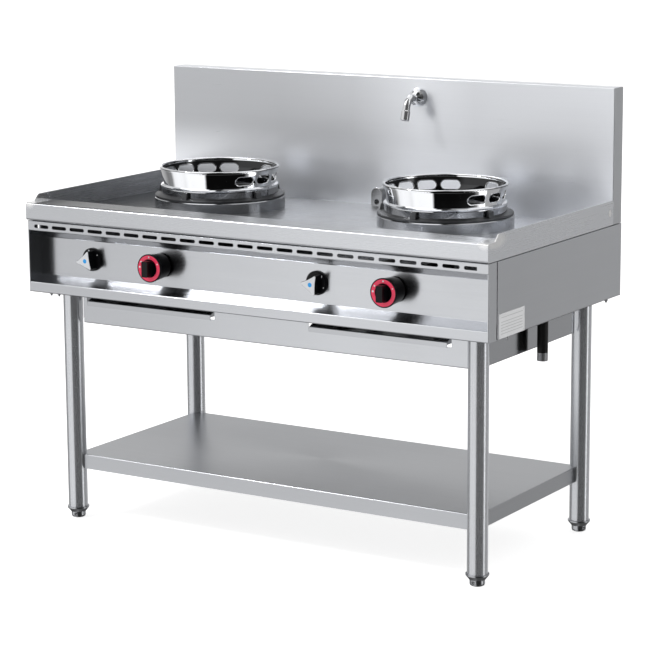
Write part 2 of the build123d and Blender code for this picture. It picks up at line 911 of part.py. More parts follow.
def water_knob(x, turn):
    """Round skirt and a three-sided grip."""
    profile = [
        (0, water_base),
        (water_skirt_r, water_base),
        (water_skirt_r, water_shoulder + 4),
        (water_skirt_r - 3, water_shoulder + 1),
        (0, water_shoulder),
    ]
    skirt = turned_back(profile, x, water_knob_z)
    face = Pos(x, water_knob_z) * Rot(0, 0, turn) * triangle(water_grip_r, 3.5)
    grip = along_y(face, water_grip_front, water_shoulder + 3)
    bore = rod(spindle_r + fit, x, water_knob_z, water_spindle_front - 2, recess_back)
    return skirt + grip - bore


def water_knob_cap(x, turn):
    """Three-sided cover plate on the grip."""
    face = Pos(x, water_knob_z) * Rot(0, 0, turn) * triangle(water_grip_r - water_cap_inset, 2.5)
    return along_y(face, water_cap_front, water_grip_front)


def water_spindle(x):
    return rod(spindle_r, x, water_knob_z, water_spindle_front, water_valve_back - 13)


def water_valve(x):
    """Valve behind the control panel with its outlet to the rear."""
    nut_back = valve_front + 6
    body = rod(20, x, water_knob_z, valve_front, nut_back) + rod(15, x, water_knob_z, nut_back, water_valve_back)
    body += post(8, x, water_valve_back - 15, water_knob_z, water_knob_z + 26)
    return body - rod(spindle_r + fit, x, water_knob_z, valve_front - 1, water_valve_back - 11)


def gas_manifold():
    """Pipe behind the panel from the left valve to the right side, back and down to the inlet."""
    start = -burner_x + gas_knob_offset - 30
    points = [
        (start, manifold_y, manifold_z),
        (inlet_x, manifold_y, manifold_z),
        (inlet_x, inlet_y, manifold_z),
        (inlet_x, inlet_y, inlet_top),
    ]
    cap = Plane(origin=(start, manifold_y, manifold_z), z_dir=(1, 0, 0)) * Circle(manifold_r)
    return pipe(points, manifold_r, manifold_wall, 24) + extrude(cap, -3)


def gas_inlet_pipe():
    """Connection pipe under the body with its threaded end."""
    end = inlet_bottom + thread_length
    tube = post(manifold_r, inlet_x, inlet_y, end, inlet_top)
    tube += post(thread_r, inlet_x, inlet_y, inlet_bottom, end)
    return tube - post(manifold_r - 3, inlet_x, inlet_y, inlet_bottom - 1, inlet_top + 1)


def burner_feed_pipe(x, valve_x):
    """Pipe from the valve to the jet in front of the venturi."""
    jet_front = venturi_mouth - 22
    points = [
        (valve_x, valve_back, gas_knob_z),
        (valve_x, valve_back + 22, gas_knob_z),
        (x, valve_back + 30, gas_knob_z),
        (x, jet_front + 6, gas_knob_z),
    ]
    jet = rod(jet_r, x, gas_knob_z, jet_front, jet_front + 12)
    jet -= rod(1.5, x, gas_knob_z, jet_front - 10, jet_front + 20)
    jet -= rod(feed_r - 0.1, x, gas_knob_z, jet_front - 10, jet_front + 6)
    return pipe(points, feed_r, sheet, feed_r + 1) + jet


def water_pipes():
    """Pipes from the left tap to the deck nozzle and from the right tap up inside the splashback to the spout."""
    left = -burner_x + water_knob_offset
    right = burner_x + water_knob_offset
    to_nozzle = [
        (left, water_valve_back, water_knob_z),
        (left, nozzle_y, water_knob_z),
        (nozzle_x, nozzle_y, water_knob_z),
        (nozzle_x, nozzle_y, fascia_bottom - 14.5),
    ]
    to_spout = [
        (right, water_valve_back, water_knob_z),
        (right, riser_y, water_knob_z),
        (right, riser_y, spout_z),
        (spout_x, riser_y, spout_z),
        (spout_x, splash_front + 2 * sheet, spout_z),
    ]
    return pipe(to_nozzle, water_pipe_r, 1, water_bend), pipe(to_spout, water_pipe_r, 1, water_bend)


def spout():
    """Domed wall flange and the bent tube with a wider mouth that leans forward over the deck."""
    profile = [
        (0, splash_front),
        (rosette_r, splash_front),
        (rosette_r - 0.5, splash_front - 5),
        (rosette_r - 3, splash_front - 12),
        (rosette_r - 7, splash_front - 18),
        (rosette_r - 12, splash_front - 22),
        (spout_r, splash_front - rosette_depth),
        (0, splash_front - rosette_depth),
    ]
    rosette = turned_back(profile, spout_x, spout_z)
    corner = Vector(spout_x, splash_front - spout_reach, spout_z)
    end = corner - Vector(0, spout_lean, spout_drop)
    up = (corner - end).normalized()
    start = Vector(spout_x, splash_front - rosette_depth + 1, spout_z)
    tube = pipe([start, corner, end + up], spout_r, spout_wall, spout_bend)
    mouth_profile = [
        (spout_r - spout_wall, 0),
        (outlet_r - 1, 0),
        (outlet_r, 1),
        (outlet_r, outlet_length - 3),
        (spout_r - 0.5, outlet_length),
        (spout_r - spout_wall, outlet_length),
    ]
    mouth = Plane(origin=end, z_dir=up) * turned_up(mouth_profile, 0, 0)
    back_nut = rod(water_pipe_r + 1, spout_x, spout_z, splash_front, splash_front + 2 * sheet)
    return rosette + tube + mouth + back_nut


def deck_nozzle():
    """Rinse nozzle at the foot of the splashback: arched block with a groove and an outlet to the front."""
    deck_z = deck_at(nozzle_front)
    block_top = deck_z + nozzle_block_height
    across = (nozzle_x - nozzle_half, nozzle_x + nozzle_half)
    back = (nozzle_front, splash_front)
    block = slab(across, back, (deck_z - nozzle_half, block_top)) + rod(nozzle_half, nozzle_x, block_top, *back)
    block = fillet(block.edges().group_by(Axis.Y)[0], 2)
    groove_level = (block_top, block_top + nozzle_groove)
    neck = (nozzle_x - nozzle_half + nozzle_groove, nozzle_x + nozzle_half - nozzle_groove)
    ring = slab((nozzle_x - nozzle_half - 1, nozzle_x + nozzle_half + 1), back, groove_level)
    block -= ring - slab(neck, (nozzle_front + nozzle_groove, splash_front), groove_level)
    port = rod(nozzle_port_r, nozzle_x, deck_z + nozzle_port_height, nozzle_front - 1, nozzle_front + 12)
    stem = post(water_pipe_r - fit, nozzle_x, nozzle_y, fascia_bottom - 14.5, deck_z + 2)
    return block - below_deck() - port + stem


os.makedirs("parts", exist_ok=True)
save("worktop", worktop())
save("splashback", splashback())
save("splashback_cover", splashback_cover())
save("control_panel", control_panel())
right_panel = side_panel()
save("side_panel_right", right_panel)
save("side_panel_left", mirror(right_panel, about=Plane.YZ))
save("back_panel", back_panel())
save("base_plate", *base_plate())
save("sealing_strip", sealing_strip())
save("front_rail", front_rail())
save("apron_rails", *apron_rails())
leg_places = {
    "front_left": (-leg_x, leg_front),
    "front_right": (leg_x, leg_front),
    "rear_left": (-leg_x, leg_rear),
    "rear_right": (leg_x, leg_rear),
}
for place, spot in leg_places.items():
    save(f"leg_{place}", leg(*spot))
    save(f"foot_{place}", foot(*spot))
fittings = [shape(*spot) for spot in leg_places.values() for shape in (leg_collar, leg_socket)]
save("leg_fittings", *fittings)
save("undershelf", *undershelf())
save("tray_runners", *tray_runners())
save("burner_bridges", *burner_bridges())
save("gas_manifold", gas_manifold())
save("gas_inlet_pipe", gas_inlet_pipe())
save("water_pipes", *water_pipes())
save("spout", spout())
save("deck_nozzle", deck_nozzle())
for side, sign in sides.items():
    centre = sign * burner_x
    gas_x = centre + gas_knob_offset
    water_x = centre + water_knob_offset
    turn = water_turns[side]
    save(f"drip_tray_{side}", drip_tray(sign))
    save(f"burner_base_{side}", burner_base(centre))
    save(f"support_ring_{side}", support_ring(centre))
    save(f"wok_ring_{side}", wok_ring(centre))
    save(f"burner_head_{side}", burner_head(centre))
    save(f"burner_body_{side}", burner_body(centre))
    save(f"pilot_burner_{side}", pilot_burner(centre))
    save(f"burner_feed_pipe_{side}", burner_feed_pipe(centre, gas_x))
    save(f"gas_valve_{side}", gas_valve(gas_x))
    save(f"gas_spindle_{side}", gas_spindle(gas_x))
    save(f"gas_knob_{side}", gas_knob(gas_x))
    save(f"gas_dial_{side}", gas_dial(gas_x))
    save(f"water_valve_{side}", water_valve(water_x))
    save(f"water_spindle_{side}", water_spindle(water_x))
    save(f"water_knob_{side}", water_knob(water_x, turn))
    save(f"water_knob_cap_{side}", water_knob_cap(water_x, turn))
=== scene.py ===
import bpy
import bmesh
from math import cos, pi, radians, sin, sqrt
from mathutils import Matrix, Vector


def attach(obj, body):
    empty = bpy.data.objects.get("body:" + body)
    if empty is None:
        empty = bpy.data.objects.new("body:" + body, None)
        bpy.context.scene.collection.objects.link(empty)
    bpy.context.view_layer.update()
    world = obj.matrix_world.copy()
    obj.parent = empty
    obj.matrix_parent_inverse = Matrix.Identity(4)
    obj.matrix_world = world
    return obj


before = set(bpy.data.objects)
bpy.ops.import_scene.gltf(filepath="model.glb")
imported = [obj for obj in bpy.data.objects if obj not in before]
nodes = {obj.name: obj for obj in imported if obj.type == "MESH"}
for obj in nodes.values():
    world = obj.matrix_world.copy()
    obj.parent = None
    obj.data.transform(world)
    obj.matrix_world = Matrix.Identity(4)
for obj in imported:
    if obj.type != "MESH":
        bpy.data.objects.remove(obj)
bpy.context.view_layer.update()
print("frame loaded:", len(nodes), "nodes")


class Wire:  # an output socket that can stand in a sum
    def __init__(self, graph, socket):
        self.graph = graph
        self.socket = socket

    def maths(self, operation, first, second):
        return self.graph.node("ShaderNodeMath", {"operation": operation}, {0: first, 1: second})

    def __add__(self, other):
        return self.maths("ADD", self, other)

    def __radd__(self, other):
        return self.maths("ADD", other, self)

    def __sub__(self, other):
        return self.maths("SUBTRACT", self, other)

    def __rsub__(self, other):
        return self.maths("SUBTRACT", other, self)

    def __mul__(self, other):
        return self.maths("MULTIPLY", self, other)

    def __rmul__(self, other):
        return self.maths("MULTIPLY", other, self)

    def __truediv__(self, other):
        return self.maths("DIVIDE", self, other)

    def __rtruediv__(self, other):
        return self.maths("DIVIDE", other, self)

    def __abs__(self):
        return self.maths("ABSOLUTE", self, 0)


class Graph:  # a node tree and what is often wired in it
    def __init__(self, tree):
        self.tree = tree

    def node(self, kind, settings=None, values=None, output=0):
        made = self.tree.nodes.new(kind)
        for name, value in (settings or {}).items():
            if name == "stops":
                self.setStops(made.color_ramp, value)
            else:
                setattr(made, name, value)
        for name, value in (values or {}).items():
            if isinstance(value, Wire):
                self.tree.links.new(value.socket, made.inputs[name])
            else:
                made.inputs[name].default_value = value
        return Wire(self, made.outputs[output]) if len(made.outputs) else made

    def setStops(self, ramp, stops):
        while len(ramp.elements) > 1:
            ramp.elements.remove(ramp.elements[-1])
        for number, (place, level) in enumerate(stops):
            stop = ramp.elements[0] if number == 0 else ramp.elements.new(place)
            stop.position = place
            stop.color = (*level, 1) if isinstance(level, tuple) else (level, level, level, 1)

    def noise(self, vector, scale, detail=2, roughness=0.5):
        values = {"Vector": vector, "Scale": scale, "Detail": detail, "Roughness": roughness}
        return self.node("ShaderNodeTexNoise", {"noise_dimensions": "3D"}, values)

    def stretched(self, vector, scale):
        return self.node("ShaderNodeMapping", {"vector_type": "POINT"}, {"Vector": vector, "Scale": scale})

    def part(self, vector, axis):
        return self.node("ShaderNodeSeparateXYZ", {}, {0: vector}, "xyz".index(axis))

    def mixed(self, share, first, second):
        return self.node("ShaderNodeMix", {"data_type": "RGBA"}, {0: share, 6: first, 7: second}, 2)

    def mixedPlace(self, share, first, second):
        return self.node("ShaderNodeMix", {"data_type": "VECTOR"}, {0: share, 4: first, 5: second}, 1)

    def step(self, value, low, high):
        values = {"Value": value, "From Min": low, "From Max": high}
        return self.node("ShaderNodeMapRange", {"interpolation_type": "SMOOTHSTEP"}, values)

    def ball(self, vector, centre, reach, edge):  # 1 within reach of a point, each axis by its own reach
        offset = self.node("ShaderNodeVectorMath", {"operation": "SUBTRACT"}, {0: vector, 1: centre})
        scaled = self.node("ShaderNodeVectorMath", {"operation": "DIVIDE"}, {0: offset, 1: reach})
        far = self.node("ShaderNodeVectorMath", {"operation": "LENGTH"}, {0: scaled}, "Value")
        return 1 - self.step(far, 1 - edge, 1 + edge)


class Finish(Graph):  # a material
    def __init__(self, name, **constants):
        self.material = bpy.data.materials.new(name)
        self.material.use_nodes = True
        super().__init__(self.material.node_tree)
        self.shader = self.tree.nodes["Principled BSDF"]
        self.place = self.node("ShaderNodeTexCoord", output="Object")
        for socket, value in constants.items():
            self.set(socket, value)

    def set(self, socket, value):
        target = self.shader.inputs[socket.replace("_", " ")]
        if isinstance(value, Wire):
            self.tree.links.new(value.socket, target)
        else:
            target.default_value = value

    def bump(self, height, distance, strength=1):
        values = {"Height": height, "Distance": distance, "Strength": strength}
        self.set("Normal", self.node("ShaderNodeBump", {}, values))


def grey(level, blue=0.0):
    return (level * (1 - blue), level * (1 - blue * 0.35), level * (1 + blue), 1)


brushed = {
    "blue": 0.03,
    "scratch": 900,  # brush lines in a metre, across the grain
    "along": 4,  # and along it
    "depth": 0.0001,
    "drift": 0.05,  # how far the tone falls between bright places of a sheet
    "endOn": (0.6, 0.8),  # how squarely a face cuts the grain before its lines turn
    "bandScale": 0.05,
    "cloudScale": 5,
    "darkTone": 0.1,
    "patchHighlightTone": 0.88,
    "patchRoughness": 0.16,
}

# polished places of the worktop, whose paler tone is a painted highlight: centre, reach on each axis,
# softness of the edge
weldPatches = [
    ((0.664, -0.312, 0.852), (0.022, 0.05, 0.02), 0.3),
    ((-0.664, -0.312, 0.852), (0.022, 0.05, 0.02), 0.3),
    ((0.675, 0.3, 0.836), (0.0092, 0.0092, 0.0092), 0.08),  # plug in the right skirt
]

# painted reflection and shade: faces to the front and faces upward of a brushed sheet take their own tones
# in the base colour, lighter or darker along its width, and its foot is painted lighter
paintedSheen = {
    "halfWidth": 0.675,
    "frontFrom": (0.6, 0.8),  # how squarely a face looks forward before it takes the front tones
    "upwardFrom": (0.5, 0.9),
    # tone of the painted lightening at the foot of a sheet
    "liftTone": 0.95,
    "liftShare": 0.95,
}

# painted reflection and shade: tones along the width, from left to right, of faces to the front and of faces
# upward
hoodPaintedSheen = {
    "front": [(0, 0.5), (0.17, 0.53), (0.29, 0.58), (0.4, 0.62), (0.63, 0.82), (0.79, 0.71), (1, 0.76)],
    "upward": [(0, 0.97)],
    "lift": (0.88, 1.02),  # heights between which the foot of the sheet pales, a painted lightening
}
topPaintedSheen = {
    "front": [(0, 0.54), (0.4, 0.61), (1, 0.7)],
    "upward": [(0, 0.08), (0.13, 0.15), (0.22, 0.38), (0.45, 0.56), (0.8, 0.58), (1, 1)],
}
panelPaintedSheen = {
    "front": [(0, 0.56), (0.4, 0.63), (0.75, 0.66), (1, 0.63)],
    "upward": [(0, 0.6), (1, 0.72)],
}


# paints reflection and shade into the base colour: tones by facing and along the width, and a paler foot
def paintSheen(made, shade, tones):
    normal = made.node("ShaderNodeTexCoord", output="Normal")
    along = made.step(made.part(made.place, "x"), -paintedSheen["halfWidth"], paintedSheen["halfWidth"])
    front = made.step(made.part(normal, "y") * -1, *paintedSheen["frontFrom"])
    upward = made.step(made.part(normal, "z"), *paintedSheen["upwardFrom"])
    for share, side in ((front, "front"), (upward, "upward")):
        stops = [(place, grey(level, brushed["blue"])[:3]) for place, level in tones[side]]
        tone = made.node("ShaderNodeValToRGB", {"stops": stops}, {0: along})
        if "lift" in tones and side == "front":
            low = 1 - made.step(made.part(made.place, "z"), *tones["lift"])
            tone = made.mixed(low * paintedSheen["liftShare"], tone, grey(paintedSheen["liftTone"], brushed["blue"]))
        shade = made.mixed(share, shade, tone)
    return shade


# dull is the share of plain paint-like shade in the metal, smear how far the brushing draws out reflections,
# tones the painted reflection and shade of faces to the front and upward
def brushedSteel(name, grain, tone=0.66, roughness=0.3, smear=0.5, dull=0.0, tones=None, patches=()):
    made = Finish(name, Metallic=1 - dull, Anisotropic=smear, Anisotropic_Rotation=0.25)
    across, along = brushed["scratch"], brushed["along"]
    lineScale = [along if axis == grain else across for axis in "xyz"]
    endScale = [across, along, across] if grain == "x" else [along, across, across]
    grainward = made.part(made.node("ShaderNodeTexCoord", output="Normal"), grain)
    endOn = made.step(abs(grainward), *brushed["endOn"])
    sideLines = made.stretched(made.place, lineScale)
    endLines = made.stretched(made.place, endScale)
    where = made.mixedPlace(endOn, sideLines, endLines)
    lines = made.noise(where, 1, 3, 0.6)
    bands = made.noise(where, brushed["bandScale"], 2, 0.5)
    clouds = made.noise(made.place, brushed["cloudScale"], 3, 0.5)
    shade = grey(tone, brushed["blue"])
    if tones is not None:
        shade = paintSheen(made, shade, tones)
    level = made.step(lines * 0.35 + bands * 0.3 + clouds * 0.35, 0.25, 0.75)
    shade = made.mixed(level * brushed["drift"], shade, grey(brushed["darkTone"]))
    rough = roughness + (lines - 0.5) * 0.08 + (clouds - 0.5) * 0.05
    # polished places: lower roughness, and a paler tone that is a painted highlight
    for patch in patches:
        inside = made.ball(made.place, *patch)
        shade = made.mixed(inside, shade, grey(brushed["patchHighlightTone"]))
        rough = rough - inside * (roughness - brushed["patchRoughness"])
    made.set("Base Color", shade)
    made.set("Roughness", rough)
    made.bump(lines, brushed["depth"], 0.3)
    return made.material


plating = {
    "smearScale": 30,
    "smearRoughness": 0.05,  # how much rougher a smear is
    "overhang": (0.02, 0.08),  # how far a wall looks down before it takes the lean
    "insideShadeFrom": (0.05, 0.1),  # how far the inner wall looks up before it takes the painted shade
    "insideShadeTo": (0.3, 0.4),
    # tone of the painted shade on the inner wall
    "insideShadeTone": 0.06,
    "skirtTop": (0.869, 0.8705),  # height where the wall ends and its skirt begins
    "skirtTone": 0.4,
}


def polishedPlate(name, tone, roughness, lean=None):
    made = Finish(name, Metallic=1.0)
    smears = made.noise(made.place, plating["smearScale"], 3, 0.6)
    made.set("Roughness", roughness + made.step(smears, 0.45, 0.75) * plating["smearRoughness"])
    if lean is None:
        made.set("Base Color", made.mixed(smears, grey(tone * 0.95, 0.01), grey(tone, 0.02)))
        made.bump(made.noise(made.place, 60, 1, 0.5), 0.0003, 0.05)
        return made.material
    # walls that overhang share one lean, so each mirrors a whole panel of the studio
    normal = made.node("ShaderNodeTexCoord", output="Normal")
    x, y, z = (made.part(normal, axis) for axis in "xyz")
    under = made.step(z * -1, *plating["overhang"])
    leaned = z + under * (lean - z)
    axes = made.node("ShaderNodeCombineXYZ", {}, {0: x, 1: y, 2: leaned})
    made.set("Normal", made.node("ShaderNodeVectorMath", {"operation": "NORMALIZE"}, {0: axes}))
    # painted shade: the inner wall that looks up is darkened nearly to black
    inside = made.step(z, *plating["insideShadeFrom"]) * (1 - made.step(z, *plating["insideShadeTo"]))
    skirt = 1 - made.step(made.part(made.place, "z"), *plating["skirtTop"])
    plated = made.mixed(skirt, grey(tone, 0.02), grey(plating["skirtTone"], 0.02))
    made.set("Base Color", made.mixed(inside, plated, grey(plating["insideShadeTone"], 0.02)))
    return made.material


casting = {
    "grainScale": 700,
    "cloudScale": 18,
    "tones": (0.07, 0.13),
    "roughness": 0.4,
    "depth": 0.0004,
}


def castMetal(name):
    made = Finish(name, Metallic=0.85)
    grains = made.noise(made.place, casting["grainScale"], 4, 0.65)
    clouds = made.noise(made.place, casting["cloudScale"], 3, 0.6)
    dark, pale = (grey(tone, 0.04) for tone in casting["tones"])
    made.set("Base Color", made.mixed(made.step(clouds, 0.35, 0.7), dark, pale))
    made.set("Roughness", casting["roughness"] + (grains - 0.5) * 0.2)
    made.bump(grains, casting["depth"], 0.5)
    return made.material


moulding = {
    "grainScale": 1500,
    "cloudScale": 40,
    "depth": 0.00005,
}


def plastic(name, colour, roughness, worn=0.85, shine=0.5):  # worn is the tone of its darker clouds
    made = Finish(name, Metallic=0.0, Specular_IOR_Level=shine)
    grains = made.noise(made.place, moulding["grainScale"], 2, 0.5)
    clouds = made.noise(made.place, moulding["cloudScale"], 2, 0.5)
    dim = tuple(level * worn for level in colour[:3]) + (1,)
    made.set("Base Color", made.mixed(made.step(clouds, 0.3, 0.7), dim, colour))
    made.set("Roughness", roughness + (clouds - 0.5) * 0.1)
    made.bump(grains, moulding["depth"], 0.5)
    return made.material


def tintedMetal(name, light, dark, roughness):
    made = Finish(name, Metallic=1.0)
    stains = made.noise(made.place, 25, 4, 0.6)
    made.set("Base Color", made.mixed(made.step(stains, 0.35, 0.65), dark, light))
    made.set("Roughness", roughness + (stains - 0.5) * 0.25)
    made.bump(made.noise(made.place, 900, 2, 0.5), 0.0001, 0.4)
    return made.material


paintedPipe = {
    "bareBelow": 0.525,  # height in metres where the paint ends
    "edge": 0.0006,
    "ragged": 0.003,
}


def threadedPipe(name):  # black paint that ends above the thread
    made = Finish(name, Specular_IOR_Level=0.2)
    grains = made.noise(made.place, 1200, 2, 0.5)
    clouds = made.noise(made.place, 60, 3, 0.6)
    height = made.part(made.place, "z") + (clouds - 0.5) * paintedPipe["ragged"]
    end, edge = paintedPipe["bareBelow"], paintedPipe["edge"]
    bare = 1 - made.step(height, end - edge, end + edge)
    steel = made.mixed(clouds, grey(0.3, 0.02), grey(0.5, 0.02))
    made.set("Base Color", made.mixed(bare, grey(0.006), steel))
    made.set("Metallic", bare)
    made.set("Roughness", 0.42 + (grains - 0.5) * 0.2)
    made.bump(grains, 0.0002, 0.5)
    return made.material


sheetAcross = brushedSteel("brushedSheetAcross", "x", 0.68, 0.22, tones=panelPaintedSheen)
hoodSheet = brushedSteel("brushedHood", "x", 0.5, dull=0.25, tones=hoodPaintedSheen)
sheetBack = brushedSteel("brushedSheetBack", "y")
shelfSheet = brushedSteel("brushedShelf", "x", 0.57)
topSheet = brushedSteel(
    "brushedTop", "x", 0.74, 0.28, smear=0.0, dull=0.12, tones=topPaintedSheen, patches=weldPatches
)
apronSheet = brushedSteel("brushedApron", "x", 0.53, 0.13, smear=0.6)
tubeSteel = brushedSteel("tubeSteel", "z", 0.68, 0.26, smear=0.6, dull=0.16)
turnedSteel = brushedSteel("turnedSteel", "z", 0.55, smear=0.6)
baseSteel = brushedSteel("baseSteel", "x", 0.47, 0.1, smear=0.0)
bright = polishedPlate("brightPlate", 0.9, 0.03)
ringPlate = polishedPlate("ringPlate", 0.92, 0.02, lean=0.1)
nozzlePlate = polishedPlate("nozzlePlate", 0.5, 0.12)
zinc = polishedPlate("zincPlate", 0.6, 0.3)
cast = castMetal("castIron")
blackPlastic = plastic("blackPlastic", (0.004, 0.004, 0.005, 1), 0.3, shine=0.2)
redPrint = plastic("redPrint", (0.72, 0.025, 0.085, 1), 0.35, worn=0.93)
whitePlastic = plastic("whitePlastic", (0.6, 0.61, 0.63, 1), 0.35, worn=0.96)
bluePrint = plastic("bluePrint", (0.008, 0.3, 0.72, 1), 0.35, worn=0.8)
sealRubberAndHoleShade = plastic("sealRubberAndHoleShade", (0.015, 0.015, 0.016, 1), 0.7)
blackPipe = plastic("blackPipe", (0.008, 0.008, 0.009, 1), 0.4, shine=0.2)
inletPipe = threadedPipe("inletPipe")
brass = tintedMetal("brass", (0.8, 0.6, 0.28, 1), (0.55, 0.38, 0.16, 1), 0.32)
dullPipe = tintedMetal("dullPipe", (0.3, 0.29, 0.28, 1), (0.16, 0.15, 0.15, 1), 0.4)

finishOf = {  # by the longest beginning of a node's name
    "worktop": topSheet,
    "splashback": hoodSheet,
    "splashback_cover": sheetAcross,
    "control_panel": sheetAcross,
    "side_panel": sheetBack,
    "back_panel": sheetAcross,
    "base_plate": sheetAcross,
    "sealing_strip": sealRubberAndHoleShade,
    "burner_bridges": sheetAcross,
    "front_rail": sheetAcross,
    "apron_rails": apronSheet,
    "leg_fittings": turnedSteel,
    "leg": tubeSteel,
    "foot": turnedSteel,
    "undershelf": shelfSheet,
    "tray_runners": sheetBack,
    "drip_tray": apronSheet,
    "burner_base": baseSteel,
    "support_ring": cast,
    "wok_ring": ringPlate,
    "burner_head": cast,
    "burner_body": cast,
    "pilot_burner": zinc,
    "gas_valve": brass,
    "gas_spindle": zinc,
    "gas_knob": blackPlastic,
    "gas_dial": redPrint,
    "gas_manifold": blackPipe,
    "gas_inlet_pipe": inletPipe,
    "burner_feed_pipe": dullPipe,
    "water_valve": brass,
    "water_spindle": zinc,
    "water_knob_cap": whitePlastic,
    "water_knob": blackPlastic,
    "water_pipes": dullPipe,
    "spout": bright,
    "deck_nozzle": nozzlePlate,
}

for name, node in nodes.items():
    kind = max((key for key in finishOf if name.startswith(key)), key=len)
    node.data.materials.clear()
    node.data.materials.append(finishOf[kind])
print("finishes given to", len(nodes), "nodes")


frontToMiddle = 351  # millimetres from the worktop's front edge to the middle of the frame


def at(x, y, z):  # millimetres, y from the worktop's front edge, to the frame's metres
    return Vector((x, y - frontToMiddle, z)) / 1000


def facing(place, ahead, upward=(0, 0, 1)):  # matrix at a place with its z axis ahead and its y axis upward
    z = Vector(ahead).normalized()
    x = Vector(upward).cross(z).normalized()
    return Matrix.Translation(place) @ Matrix((x, z.cross(x), z)).transposed().to_4x4()


meshing = {
    "merge": 1e-7,  # metres
    "sharp": 35,  # degrees from which an edge stays sharp
}


def addPiece(name, points, faces, finish, body, slot):
    mesh = bpy.data.meshes.new(name)
    mesh.from_pydata([tuple(point) for point in points], [], faces)
    work = bmesh.new()
    work.from_mesh(mesh)
    bmesh.ops.remove_doubles(work, verts=work.verts, dist=meshing["merge"])
    bmesh.ops.recalc_face_normals(work, faces=work.faces)
    work.to_mesh(mesh)
    work.free()
    mesh.shade_smooth()
    mesh.set_sharp_from_angle(angle=radians(meshing["sharp"]))
    mesh.materials.append(finish)
    piece = bpy.data.objects.new(name, mesh)
    bpy.context.scene.collection.objects.link(piece)
    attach(piece, body)
    return piece


def turned(profile, matrix, steps=24):  # profile of (radius, height) in millimetres
    profile = [(radius / 1000, height / 1000) for radius, height in profile]
    count = len(profile)
    points = []
    for step in range(steps):
        turn = 2 * pi * step / steps
        for radius, height in profile:
            points.append(matrix @ Vector((radius * cos(turn), radius * sin(turn), height)))
    faces = []
    for step in range(steps):
        near, far = step * count, (step + 1) % steps * count
        faces += [(near + row, far + row, far + row + 1, near + row + 1) for row in range(count - 1)]
    return points, faces


# round wire along a path of points in metres, with the direction outward at each; its radius in millimetres
def wire(path, outward, radius, sides=10, closed=True):
    radius /= 1000
    points = []
    count = len(path)
    for number, point in enumerate(path):
        before = path[number - 1] if closed or number else path[0]
        after = path[(number + 1) % count] if closed or number < count - 1 else path[-1]
        side = (after - before).normalized().cross(outward[number])
        for corner in range(sides):
            turn = 2 * pi * corner / sides
            points.append(point + radius * (cos(turn) * outward[number] + sin(turn) * side))
    faces = []
    for number in range(count if closed else count - 1):
        near, far = number * sides, (number + 1) % count * sides
        faces += [(near + k, far + k, far + (k + 1) % sides, near + (k + 1) % sides) for k in range(sides)]
    if not closed:
        faces += [tuple(range(sides)), tuple(range(count * sides - sides, count * sides))]
    return points, faces


def plate(width, height, thickness, corner, bevel, matrix, steps=6):  # rounded at the corners, millimetres
    loops = []
    for inset, level in ((0, 0), (0, thickness - bevel), (bevel, thickness)):
        loop = []
        for quarter, (right, up) in enumerate(((1, 1), (-1, 1), (-1, -1), (1, -1))):
            for step in range(steps + 1):
                turn = (quarter + step / steps) * pi / 2
                reach = corner - inset
                x = right * (width / 2 - corner) + reach * cos(turn)
                y = up * (height / 2 - corner) + reach * sin(turn)
                loop.append(matrix @ (Vector((x, y, level)) / 1000))
        loops.append(loop)
    count = len(loops[0])
    points = [point for loop in loops for point in loop]
    faces = [tuple(range(count)), tuple(range(2 * count, 3 * count))]
    for ring in range(2):
        for k in range(count):
            near, far = ring * count + k, ring * count + (k + 1) % count
            faces.append((near, far, far + count, near + count))
    return points, faces


def together(*meshes):
    points, faces = [], []
    for more, theirs in meshes:
        faces += [tuple(corner + len(points) for corner in face) for face in theirs]
        points += more
    return points, faces


def dot(radius, height, matrix):  # low dome with a rim, millimetres
    profile = [(0, height), (radius * 0.6, height * 0.95), (radius * 0.9, height * 0.7), (radius, 0), (0, 0)]
    return turned(profile, matrix)


ringHoles = {
    "centre": (341, 400),
    "level": 896.5,
    "length": 52,
    "height": 25,
    "turns": [sign * number * 24 for sign in (-1, 1) for number in range(1, 6)],  # degrees from the rear
    "wall": [(878, 147.5), (897, 150.5), (917, 155.6)],  # height and outside radius
    "wallThickness": 2.5,
    "lip": 1.7,
    "steps": 12,  # round each end of a hole
}


def wallRadius(z):
    wall = ringHoles["wall"]
    low, high = (wall[0], wall[1]) if z < wall[1][0] else (wall[1], wall[2])
    share = (z - low[0]) / (high[0] - low[0])
    return low[1] + share * (high[1] - low[1]) - ringHoles["wallThickness"] / 2


def addHoleLips(side, sign):
    half = ringHoles["height"] / 2
    reach = ringHoles["length"] / 2 - half
    outline = []
    steps = ringHoles["steps"]
    for end in (1, -1):
        for step in range(steps + 1):
            turn = pi * (step / steps - 0.5)
            outline.append((end * (reach + half * cos(turn)), end * half * sin(turn)))
    x, y = ringHoles["centre"]
    lips = []
    for turn in ringHoles["turns"]:
        angle = radians(90 + turn)
        out = Vector((cos(angle), sin(angle), 0))
        sideways = Vector((-sin(angle), cos(angle), 0))
        path, outward = [], []
        for across, up in outline:
            z = ringHoles["level"] + up
            radius = wallRadius(z)
            spot = out * sqrt(radius ** 2 - across ** 2) + sideways * across
            path.append(at(sign * x, y, z) + spot / 1000)
            outward.append(spot.normalized())
        lips.append(wire(path, outward, ringHoles["lip"]))
    addPiece(f"holeLips_{side}", *together(*lips), bright, f"wok_ring_{side}", "bright_plate")


knobs = {
    "gas": {"left": -287.5, "right": 394.5},
    "gasLevel": 710,
    "dialFront": 2,
    "dialMiddle": 28.3,  # radius on which the dots stand
    "gasMarks": [(90, 2.2), (147, 2.2), (176, 2.6), (26, 1.8)],  # angle and radius of the white dots
    "gasMarkHeight": 0.25,
    "water": {"left": -506, "right": 176},
    "waterLevel": 706.5,
    "capFront": 23,
    "blueDot": 5.6,
    "skirtFront": 49.5,
    "skirtMark": {"left": 104, "right": 47},  # angle of the large mark
    "skirtMarks": [(0, 2.6), (70, 1.5)],  # degrees back from there, and radius
    "skirtMarkReach": 24.5,
    "waterMarkHeight": 0.3,
}


